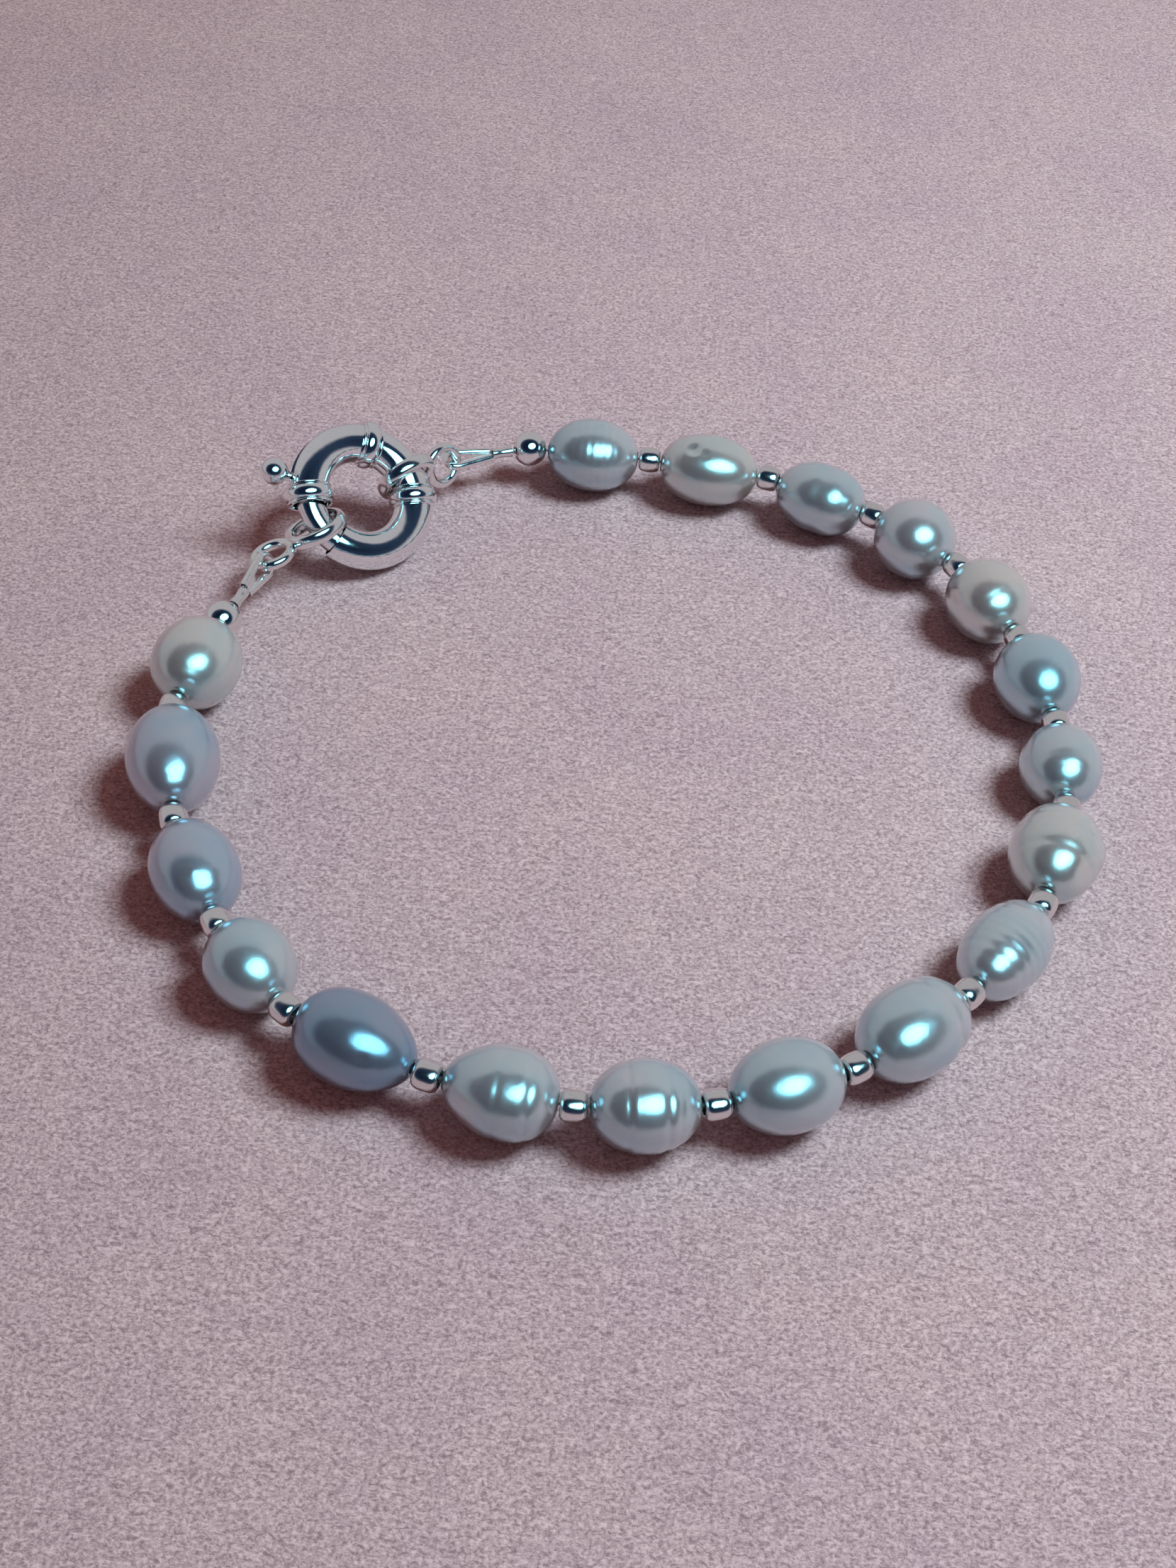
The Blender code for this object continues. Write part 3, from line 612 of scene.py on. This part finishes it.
# %% Sweep the tube
def swept_ring(name, girth, sides, from_angle, to_angle, steps):
    """An open tube swept round the ring from one angle to another, in the clasp's own frame."""
    deselect()
    bpy.ops.mesh.primitive_circle_add(
        vertices=sides, radius=girth / 2,
        location=(RING_RADIUS, 0.0, 0.0), rotation=(math.pi / 2, 0.0, 0.0))
    piece = bpy.context.object
    piece.name = name
    stand(piece, Matrix.Rotation(math.radians(from_angle), 4, "Z") @ piece.matrix_world)
    bpy.ops.object.mode_set(mode="EDIT")
    bpy.ops.mesh.select_all(action="SELECT")
    sweep(math.radians(to_angle - from_angle), (0, 0, 1), steps)
    return piece


def face_outwards_open(piece):
    """Point an open tube's faces away from its middle line."""
    bpy.ops.mesh.select_all(action="SELECT")
    bpy.ops.mesh.normals_make_consistent(inside=False)
    mesh = bmesh.from_edit_mesh(piece.data)
    mesh.faces.ensure_lookup_table()
    face = mesh.faces[0]
    middle = face.calc_center_median()
    core = Vector((middle.x, middle.y, 0.0)).normalized() * RING_RADIUS
    if face.normal.dot(middle - core) < 0.0:
        bpy.ops.mesh.flip_normals()


tube = swept_ring("clasp_tube", 2 * TUBE_RADIUS, 64, SOCKET_AT - 360.0, MOUTH_AT, 160)
face_outwards_open(tube)
bpy.ops.object.mode_set(mode="OBJECT")
wall = tube.modifiers.new("wall", "SOLIDIFY")
wall.thickness = CLASP_WALL
wall.offset = -1.0
wall.use_even_offset = True
bpy.ops.object.modifier_apply(modifier="wall")
print("tube wall", CLASP_WALL / MM, "mm")

# %% Cut the trigger's slot
def cut_away(piece, cutter):
    """Cut a piece with another, which is used up."""
    deselect()
    piece.select_set(True)
    bpy.context.view_layer.objects.active = piece
    step = piece.modifiers.new("cut", "BOOLEAN")
    step.operation = "DIFFERENCE"
    step.solver = "EXACT"
    step.object = cutter
    bpy.ops.object.modifier_apply(modifier="cut")
    bpy.data.objects.remove(cutter)


half_slot = math.degrees(TRIGGER_SLOT / 2 / (RING_RADIUS + TUBE_RADIUS))
deselect()
bpy.ops.mesh.primitive_circle_add(
    vertices=24, radius=TRIGGER_SLOT / 2, fill_type="NGON",
    location=(RING_RADIUS + TUBE_RADIUS, 0.0, 0.0), rotation=(math.pi / 2, 0.0, 0.0))
slot_rod = bpy.context.object
slot_start = TRIGGER_AT - TRIGGER_TRAVEL - half_slot
stand(slot_rod, Matrix.Rotation(math.radians(slot_start), 4, "Z") @ slot_rod.matrix_world)
bpy.ops.object.mode_set(mode="EDIT")
bpy.ops.mesh.select_all(action="SELECT")
sweep(math.radians(TRIGGER_TRAVEL + 2 * half_slot), (0, 0, 1), 30)
close_up()
bpy.ops.object.mode_set(mode="OBJECT")
cut_away(tube, slot_rod)
print("slot length", round(math.radians(TRIGGER_TRAVEL) * (RING_RADIUS + TUBE_RADIUS) / MM, 2), "mm")

# %% [markdown]
# A collar is a half-round bead between two thin flared lips, turned as one ring. Its outline is
# drawn and spun, and each copy is stood on the tube at its own angle.

# %% Add the three collars
COLLAR_LENGTH, COLLAR_GIRTH, COLLAR_LIP = 1.65 * MM, 3.95 * MM, 3.6 * MM


def collar_outline():
    """Half outline of a collar: lip, groove, round bead, groove, lip, and its inner face."""
    half = COLLAR_LENGTH / 2
    inner = TUBE_RADIUS - CLASP_WALL / 2
    lip, crown = COLLAR_LIP / 2, COLLAR_GIRTH / 2
    groove = 0.5 * lip + 0.5 * TUBE_RADIUS
    upper = [
        (inner, half), (lip - 0.09 * MM, half), (lip - 0.02 * MM, 0.96 * half), (lip, 0.90 * half),
        (lip, 0.82 * half), (lip - 0.03 * MM, 0.76 * half), (groove, 0.72 * half), (groove, 0.67 * half)]
    bead = []
    for step in range(1, 16):
        share = math.cos(math.pi * step / 16)
        bead.append((groove + (crown - groove) * math.sqrt(1.0 - share * share), 0.66 * half * share))
    lower = [(radius, -height) for radius, height in reversed(upper)]
    return upper + bead + lower


parts = [tube]
for angle in (MOUTH_COLLAR_AT, TOP_COLLAR_AT, SIDE_COLLAR_AT):
    collar = spin_outline("collar", collar_outline(), 72)
    turn = Matrix.Rotation(math.radians(angle), 4, "Z")
    stand(collar, Matrix.Translation(on_ring(angle)) @ turn @ Matrix.Rotation(math.pi / 2, 4, "X"))
    parts.append(collar)
clasp_body = join("clasp_ring", parts)
smooth(clasp_body, 35.0)
stand(clasp_body, clasp)
dress(clasp_body, "clasp_body", "bracelet", clasp_silver)
print("clasp body has", len(clasp_body.data.polygons), "faces")

# %% [markdown]
# ## The bolt and its trigger
#
# The bolt is a round rod bent to the ring's curve. Its tip is rounded, so that it finds the tube's
# open end. The trigger is a turned knob: a stem, a small foot and a ball, drawn as one outline and
# spun about the stem. Both ride on the bolt's own body, because they slide round the ring.

# %% Make the bolt
BOLT_ROUNDING = 0.42 * MM
bolt = swept_ring("bolt_rod", BOLT, 48, BOLT_HEEL_AT, BOLT_TIP_AT, 60)
bpy.ops.mesh.select_all(action="DESELECT")
bpy.ops.mesh.select_non_manifold()
bpy.ops.mesh.edge_face_add()
rim = bmesh.from_edit_mesh(bolt.data)
bpy.ops.mesh.select_all(action="DESELECT")
for face in rim.faces:
    face.select_set(len(face.verts) > 4)
bmesh.update_edit_mesh(bolt.data)
bpy.ops.mesh.bevel(offset=BOLT_ROUNDING, segments=6, profile=0.5, affect="EDGES")
close_up()
bpy.ops.object.mode_set(mode="OBJECT")
print("bolt has", len(bolt.data.polygons), "faces")

# %% Make the trigger
TRIGGER_ROOT = 0.4 * MM


def trigger_outline():
    """Half outline of the trigger from inside the bolt to the top of its ball."""
    stem, knob = TRIGGER_STEM / 2, TRIGGER_BALL / 2
    ball_at = TUBE_RADIUS + TRIGGER_NECK + knob
    outline = [(0.0, TRIGGER_ROOT), (stem, TRIGGER_ROOT), (stem, TUBE_RADIUS + 0.5 * TRIGGER_NECK)]
    first = math.asin(1.35 * stem / knob)
    for step in range(25):
        turn = first + (math.pi - first) * step / 24
        outline.append((knob * math.sin(turn), ball_at - knob * math.cos(turn)))
    return outline


trigger = spin_outline("trigger", trigger_outline(), 48)
lie_out = Matrix.Rotation(math.radians(TRIGGER_AT), 4, "Z") @ Matrix.Rotation(math.pi / 2, 4, "Y")
stand(trigger, Matrix.Translation(on_ring(TRIGGER_AT)) @ lie_out)
clasp_bolt = join("bolt_and_trigger", [bolt, trigger])
smooth(clasp_bolt, 40.0)
stand(clasp_bolt, clasp)
dress(clasp_bolt, "clasp_bolt", "bolt", bolt_silver)
print("trigger ball", TRIGGER_BALL / MM, "mm")

# %% [markdown]
# ## The figure-of-eight links
#
# A link is two rings of drawn wire soldered across each other: a wide band that slips over the
# clasp, and a round eye for the wire guard. Both outlines are spun. Where they meet, solder has
# run in and left a short waisted neck.

# %% Make the links
def wire_ring_outline(ring_radius, thickness, width, squareness, steps=24):
    """Outline of a ring's cross section, from round (1.0) towards a flat band."""
    outline = []
    for step in range(steps):
        turn = math.tau * step / steps
        across, up = math.cos(turn), math.sin(turn)
        outline.append((
            ring_radius + thickness / 2 * math.copysign(abs(across) ** squareness, across),
            width / 2 * math.copysign(abs(up) ** squareness, up)))
    return outline


SOLDER_DEPTH, SOLDER_GIRTH = 0.18 * MM, 1.0 * MM


def solder_outline():
    """A waisted neck between the loop and the eye, from inside the one wire to inside the other."""
    start = LOOP_RADIUS + SOLDER_DEPTH
    end = EYE_REACH - EYE_RADIUS - SOLDER_DEPTH
    outline = [(0.0, start)]
    for step in range(9):
        share = step / 8
        waist = 1.0 - 0.30 * math.sin(math.pi * share)
        outline.append((SOLDER_GIRTH / 2 * waist, start + (end - start) * share))
    return outline + [(0.0, end)]


for side, link in link_frames.items():
    loop = spin_outline("loop", wire_ring_outline(LOOP_RADIUS, LINK_WIRE, LOOP_BAND, 0.80), 96)
    stand(loop, Matrix.Rotation(math.pi / 2, 4, "X"))
    eye = spin_outline("eye", wire_ring_outline(EYE_RADIUS, LINK_WIRE, LINK_WIRE, 0.95), 80)
    twist = link.inverted() @ eye_frames[side]
    stand(eye, twist)
    solder = spin_outline("solder", solder_outline(), 32)
    stand(solder, Matrix.Rotation(math.pi / 2, 4, "Y"))
    eight = join("eight_link", [loop, eye, solder])
    smooth(eight, 50.0)
    stand(eight, link)
    dress(eight, f"eight_link_{side}", "bracelet", link_silver)
print("links reach", round((EYE_REACH + EYE_RADIUS) / MM, 2), "mm")

# %% [markdown]
# ## The wire guards
#
# A guard is a fine silver tube bent to a horseshoe, which keeps the wire from wearing on the eye.
# A circle is extruded down one leg, spun round the eye and extruded down the other leg, and
# Solidify gives the tube its wall. A thin web fills the fork between the legs.

# %% Make the guards
LEG_STEPS = 6
WEB_THICKNESS, WEB_DEPTH, WEB_EDGE = 0.20 * MM, 1.0 * MM, 0.06 * MM
lean = math.atan2(GUARD_BEND - GUARD_TIP, GUARD_REACH)


def make_guard():
    """One guard in its own frame: the bend round the origin, the tips towards +X."""
    deselect()
    bpy.ops.mesh.primitive_circle_add(
        vertices=28, radius=GUARD_TUBE / 2, location=(GUARD_REACH, 0.0, GUARD_TIP),
        rotation=(0.0, math.pi / 2 + lean, 0.0))
    piece = bpy.context.object
    stand(piece, piece.matrix_world.copy())
    bpy.ops.object.mode_set(mode="EDIT")
    bpy.ops.mesh.select_all(action="SELECT")
    touch = Vector((GUARD_BEND * math.sin(lean), 0.0, GUARD_BEND * math.cos(lean)))
    run = touch - Vector((GUARD_REACH, 0.0, GUARD_TIP))
    for _ in range(LEG_STEPS):
        bpy.ops.mesh.extrude_edges_move(TRANSFORM_OT_translate={"value": run / LEG_STEPS})
    sweep(-(math.pi + 2 * lean), (0, 1, 0), 36)
    run_back = Vector((-run.x, 0.0, run.z))
    for _ in range(LEG_STEPS):
        bpy.ops.mesh.extrude_edges_move(TRANSFORM_OT_translate={"value": run_back / LEG_STEPS})
    bpy.ops.mesh.select_all(action="SELECT")
    bpy.ops.mesh.remove_doubles(threshold=0.0001 * MM)
    bpy.ops.mesh.normals_make_consistent(inside=False)
    bpy.ops.object.mode_set(mode="OBJECT")
    shell = piece.modifiers.new("wall", "SOLIDIFY")
    shell.thickness = (GUARD_TUBE - GUARD_BORE) / 2
    shell.offset = -1.0
    bpy.ops.object.modifier_apply(modifier="wall")
    return piece


def make_web():
    """The thin web between a guard's legs, a wedge with rounded edges."""
    deselect()
    bpy.ops.mesh.primitive_cube_add(
        size=1.0, location=(0.72 * GUARD_REACH, 0.0, 0.0),
        scale=(0.50 * GUARD_REACH, WEB_THICKNESS, WEB_DEPTH))
    web = bpy.context.object
    stand(web, web.matrix_world.copy())
    bpy.ops.object.mode_set(mode="EDIT")
    bpy.ops.mesh.select_all(action="DESELECT")
    mesh = bmesh.from_edit_mesh(web.data)
    for vertex in mesh.verts:
        vertex.select_set(vertex.co.x > 0.8 * GUARD_REACH)
    mesh.select_flush_mode()
    bmesh.update_edit_mesh(web.data)
    bpy.ops.transform.resize(value=(1.0, 1.0, 0.62))
    bpy.ops.mesh.select_all(action="SELECT")
    bpy.ops.mesh.bevel(offset=WEB_EDGE, segments=3, affect="EDGES")
    close_up()
    bpy.ops.object.mode_set(mode="OBJECT")
    return web


for side, guard in guard_frames.items():
    horseshoe = join("guard", [make_guard(), make_web()])
    smooth(horseshoe, 50.0)
    stand(horseshoe, guard)
    dress(horseshoe, f"wire_guard_{side}", "bracelet", guard_silver)
print("guard legs close at", round(math.degrees(lean), 1), "degrees")

# %% [markdown]
# ## Crimps, end balls and the wire
#
# The crimp is a short thin tube that pliers have pressed once, so its middle is waisted. The end
# ball is a hollow bead with a rolled rim at each hole. The wire itself hides in the beads, and
# shows only in the gap beside a crimp, so its node stays and takes the steel.

# %% Make the crimps
CRIMP_PRESS, PRESS_WIDTH = 0.14, 0.45
half_crimp = CRIMP_LENGTH / 2
crimp_outline = []
for step in range(17):
    share = -1.0 + step / 8
    pressed = 1.0 - CRIMP_PRESS * math.exp(-(share / PRESS_WIDTH) ** 2)
    crimp_outline.append((CRIMP_GIRTH / 2 * pressed, share * half_crimp))
crimp_bore = CRIMP_GIRTH / 2 - CRIMP_WALL - 0.04 * MM
crimp_outline += [(crimp_bore, half_crimp), (0.9 * crimp_bore, 0.0), (crimp_bore, -half_crimp)]
for side, guard in guard_frames.items():
    crimp = spin_outline("crimp", crimp_outline, 40)
    smooth(crimp, 50.0)
    middle = Matrix.Translation((GUARD_REACH + CRIMP_GAP + half_crimp, 0.0, 0.0))
    stand(crimp, guard @ middle @ Matrix.Rotation(math.pi / 2, 4, "Y"))
    dress(crimp, f"crimp_tube_{side}", "bracelet", crimp_silver)
print("crimps made")

# %% Make the end balls
def ball_outline():
    """Half outline of a hollow bead with a rolled rim at each end of its hole."""
    bore, radius = END_BALL_HOLE / 2, END_BALL / 2
    first = math.asin(1.12 * bore / radius)
    outline = []
    for step in range(49):
        turn = first + (math.pi - 2 * first) * step / 48
        outline.append((radius * math.sin(turn), radius * math.cos(turn)))
    end = radius * math.cos(first)
    outline += [(bore, -end - 0.02 * MM), (0.95 * bore, -end + 0.10 * MM), (0.95 * bore, 0.0)]
    outline += [(0.95 * bore, end - 0.10 * MM), (bore, end + 0.02 * MM)]
    return outline


for side, along in (("a", bead_at[1] - bead_at[0]), ("b", bead_at[-1] - bead_at[-2])):
    ball = spin_outline("end_ball", ball_outline(), 64)
    smooth(ball, 50.0)
    towards_guard = guard_frames[side].to_3x3() @ Vector((1.0, 0.0, 0.0))
    direction = along.normalized() + (towards_guard if side == "a" else -towards_guard)
    stand(ball, frame_from(UP, direction.cross(UP), middle_of(f"end_ball_{side}")))
    dress(ball, f"end_ball_{side}", "bracelet", ball_silver)
wire = frame["nodes"]["beading_wire"]
wire.data.materials.clear()
wire.data.materials.append(wire_steel)
print("end balls made, and the wire has its steel")

# %% [markdown]
# ## Floor, light and camera
#
# The bracelet lies on plain felt-like paper of a dusty rose. Gloss and matt sides need different
# things from the room, so each light says which of the two it serves. A cool window, a little to
# the right behind the viewer, is for the gloss alone: it is the bright patch in every pearl and
# the white line on the silver. A small key light from the right is for the matt sides and gives
# the short warm shadows, and a wide one from behind lifts the upper sides. The world does the
# same: what is glossy sees a room that is dark round the window, with pale walls further off,
# which gives the deep bands in the metal, and what is matt gets a dim warm fill.

# %% The floor
def make_paper():
    """Dusty rose paper with a short felt-like nap."""
    material, tree, shader = new_material("rose_paper")
    place = add_node(tree, "ShaderNodeTexCoord")
    grain = add_node(
        tree, "ShaderNodeTexNoise", values={"Scale": 3600.0, "Detail": 4.0, "Roughness": 0.7},
        links={"Vector": place.outputs["Object"]})
    lie = add_node(
        tree, "ShaderNodeMapping", values={"Scale": (1.0, 1.9, 1.0), "Rotation": (0.0, 0.0, 0.6)},
        links={"Vector": place.outputs["Object"]})
    fibres = add_node(
        tree, "ShaderNodeTexNoise",
        values={"Scale": 1700.0, "Detail": 4.0, "Roughness": 0.65, "Distortion": 1.6},
        links={"Vector": lie.outputs["Vector"]})
    nap = add_node(
        tree, "ShaderNodeMix", values={"Factor": 0.5},
        links={"A": grain.outputs["Fac"], "B": fibres.outputs["Fac"]})
    patch = add_node(
        tree, "ShaderNodeTexNoise", values={"Scale": 60.0, "Detail": 3.0, "Roughness": 0.6},
        links={"Vector": place.outputs["Object"]})
    tone = colour_ramp(
        tree, nap.outputs["Result"], ((0.40, (0.22, 0.19, 0.21)), (0.60, (0.55, 0.52, 0.55))))
    cloud = colour_ramp(
        tree, patch.outputs["Fac"], ((0.35, (0.93, 0.91, 0.95)), (0.65, (1.0, 1.0, 1.0))))
    mixed = add_node(
        tree, "ShaderNodeMix", settings={"data_type": "RGBA", "blend_type": "MULTIPLY"},
        values={"Factor": 1.0}, links={"A": tone.outputs["Color"], "B": cloud.outputs["Color"]})
    tree.links.new(mixed.outputs["Result"], shader.inputs["Base Color"])
    bump = add_node(
        tree, "ShaderNodeBump", values={"Strength": 0.8, "Distance": 0.12 * MM},
        links={"Height": nap.outputs["Result"]})
    tree.links.new(bump.outputs["Normal"], shader.inputs["Normal"])
    shader.inputs["Roughness"].default_value = 0.95
    shader.inputs["Specular IOR Level"].default_value = 0.15
    return material


deselect()
bpy.ops.mesh.primitive_plane_add(size=3.0, location=(0.0, 0.0, 0.0))
floor = bpy.context.object
floor.name = "floor"
floor.data.materials.append(make_paper())
print("floor laid")

# %% The lights
def add_soft_light(name, direction, distance, size, energy, colour, for_gloss):
    """A soft light that shines on the bracelet from this direction, for gloss or for matt sides."""
    away = Vector(direction).normalized()
    turn = away.to_track_quat("Z", "Y").to_euler()
    bpy.ops.object.light_add(type="AREA", location=away * distance, rotation=turn)
    light = bpy.context.object
    light.name = name
    light.data.shape = "ELLIPSE"
    light.data.size, light.data.size_y = size
    light.data.energy = energy
    light.data.color = colour
    light.visible_glossy = for_gloss
    light.visible_diffuse = not for_gloss


add_soft_light("window", (0.27, -0.51, 0.82), 0.60, (0.54, 0.40), 3.1, (0.32, 0.85, 1.0), True)
add_soft_light("key", (0.50, 0.08, 0.84), 0.38, (0.15, 0.15), 1.75, (0.93, 0.98, 1.0), False)
add_soft_light("back", (0.10, 0.90, 0.45), 1.20, (1.60, 0.80), 0.85, (0.92, 0.97, 1.0), False)
print("lights placed")

# %% The room that the gloss shows
DARK_SIDE = Vector((0.086, -0.61, 0.788))
DARK_STRETCH = 0.65
world = bpy.data.worlds.new("room")
world.use_nodes = True
room = world.node_tree
here = add_node(room, "ShaderNodeTexCoord")
squeezed = add_node(
    room, "ShaderNodeMapping", values={"Scale": (DARK_STRETCH, 1.0, 1.0)},
    links={"Vector": here.outputs["Generated"]})
away = add_node(
    room, "ShaderNodeVectorMath", settings={"operation": "DISTANCE"},
    links={"Vector": squeezed.outputs["Vector"]})
away.inputs[1].default_value = (DARK_STRETCH * DARK_SIDE.x, DARK_SIDE.y, DARK_SIDE.z)
walls = colour_ramp(
    room, away.outputs["Value"],
    ((0.50, (0.006, 0.011, 0.028)), (0.80, (0.022, 0.040, 0.078)), (0.93, (0.41, 0.41, 0.43))))
seen = add_node(room, "ShaderNodeLightPath")
dim = add_node(
    room, "ShaderNodeMix", settings={"data_type": "RGBA"},
    links={"Factor": seen.outputs["Is Diffuse Ray"], "A": walls.outputs["Color"]})
dim.inputs["B"].default_value = (0.29, 0.085, 0.068, 1.0)
room.links.new(dim.outputs["Result"], room.nodes["Background"].inputs["Color"])
bpy.context.scene.world = world
bpy.context.scene.view_settings.view_transform = "Standard"
print("room set")

# %% The camera
CAMERA_AT = (-0.002207, -0.102362, 0.10806)
CAMERA_TILT, CAMERA_ROLL = 42.7, 5.0
LENS_LENGTH, SENSOR_WIDTH = 45.57, 36.0
deselect()
bpy.ops.object.camera_add(location=CAMERA_AT)
camera = bpy.context.object
tilt = Matrix.Rotation(math.radians(CAMERA_TILT), 4, "X")
tilt = tilt @ Matrix.Rotation(math.radians(CAMERA_ROLL), 4, "Z")
camera.matrix_world = Matrix.Translation(CAMERA_AT) @ tilt
camera.data.lens = LENS_LENGTH
camera.data.sensor_width = SENSOR_WIDTH
camera.data.clip_start = 0.01
bpy.context.scene.camera = camera
print("camera looks", [round(part, 3) for part in tilt.to_3x3() @ Vector((0, 0, -1))])
